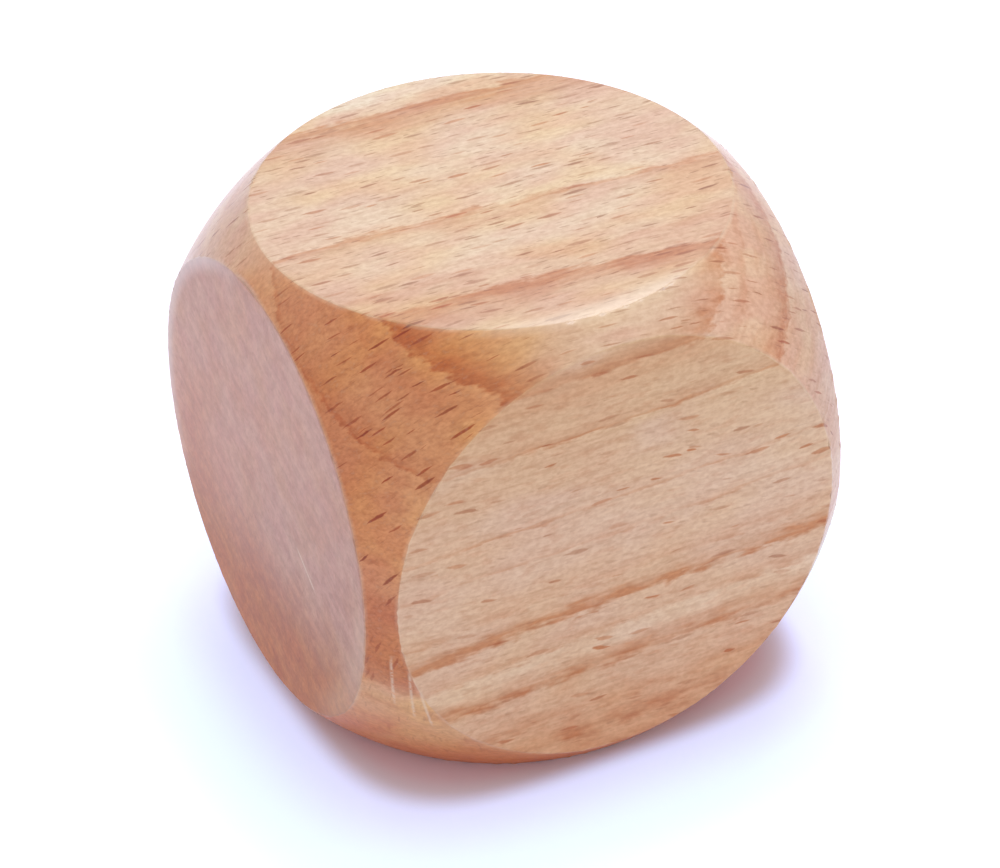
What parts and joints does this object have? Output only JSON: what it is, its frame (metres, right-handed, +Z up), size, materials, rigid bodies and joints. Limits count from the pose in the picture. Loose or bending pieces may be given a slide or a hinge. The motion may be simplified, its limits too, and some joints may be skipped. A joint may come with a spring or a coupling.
{
  "type": "blank wooden die",
  "caption": "Blank wooden die: a beech cube with its corners and edges rounded on a ball, leaving a plain round flat on each side.",
  "frame": {"origin": "centre of the lower flat, on the surface that the die rests on", "axes": "+Z up through the centre of the upper flat; X along the grain, so that the flats at -X and +X are end grain; -Y is the side flat that the picture shows to the right"},
  "size_m": [0.05, 0.05, 0.05],
  "materials": {
    "beech": "fine-sanded flats, burnished ball-rounded corners, unpainted"
  },
  "bodies": {
    "root": {"die_blank": "beech"}
  },
  "joints": []
}
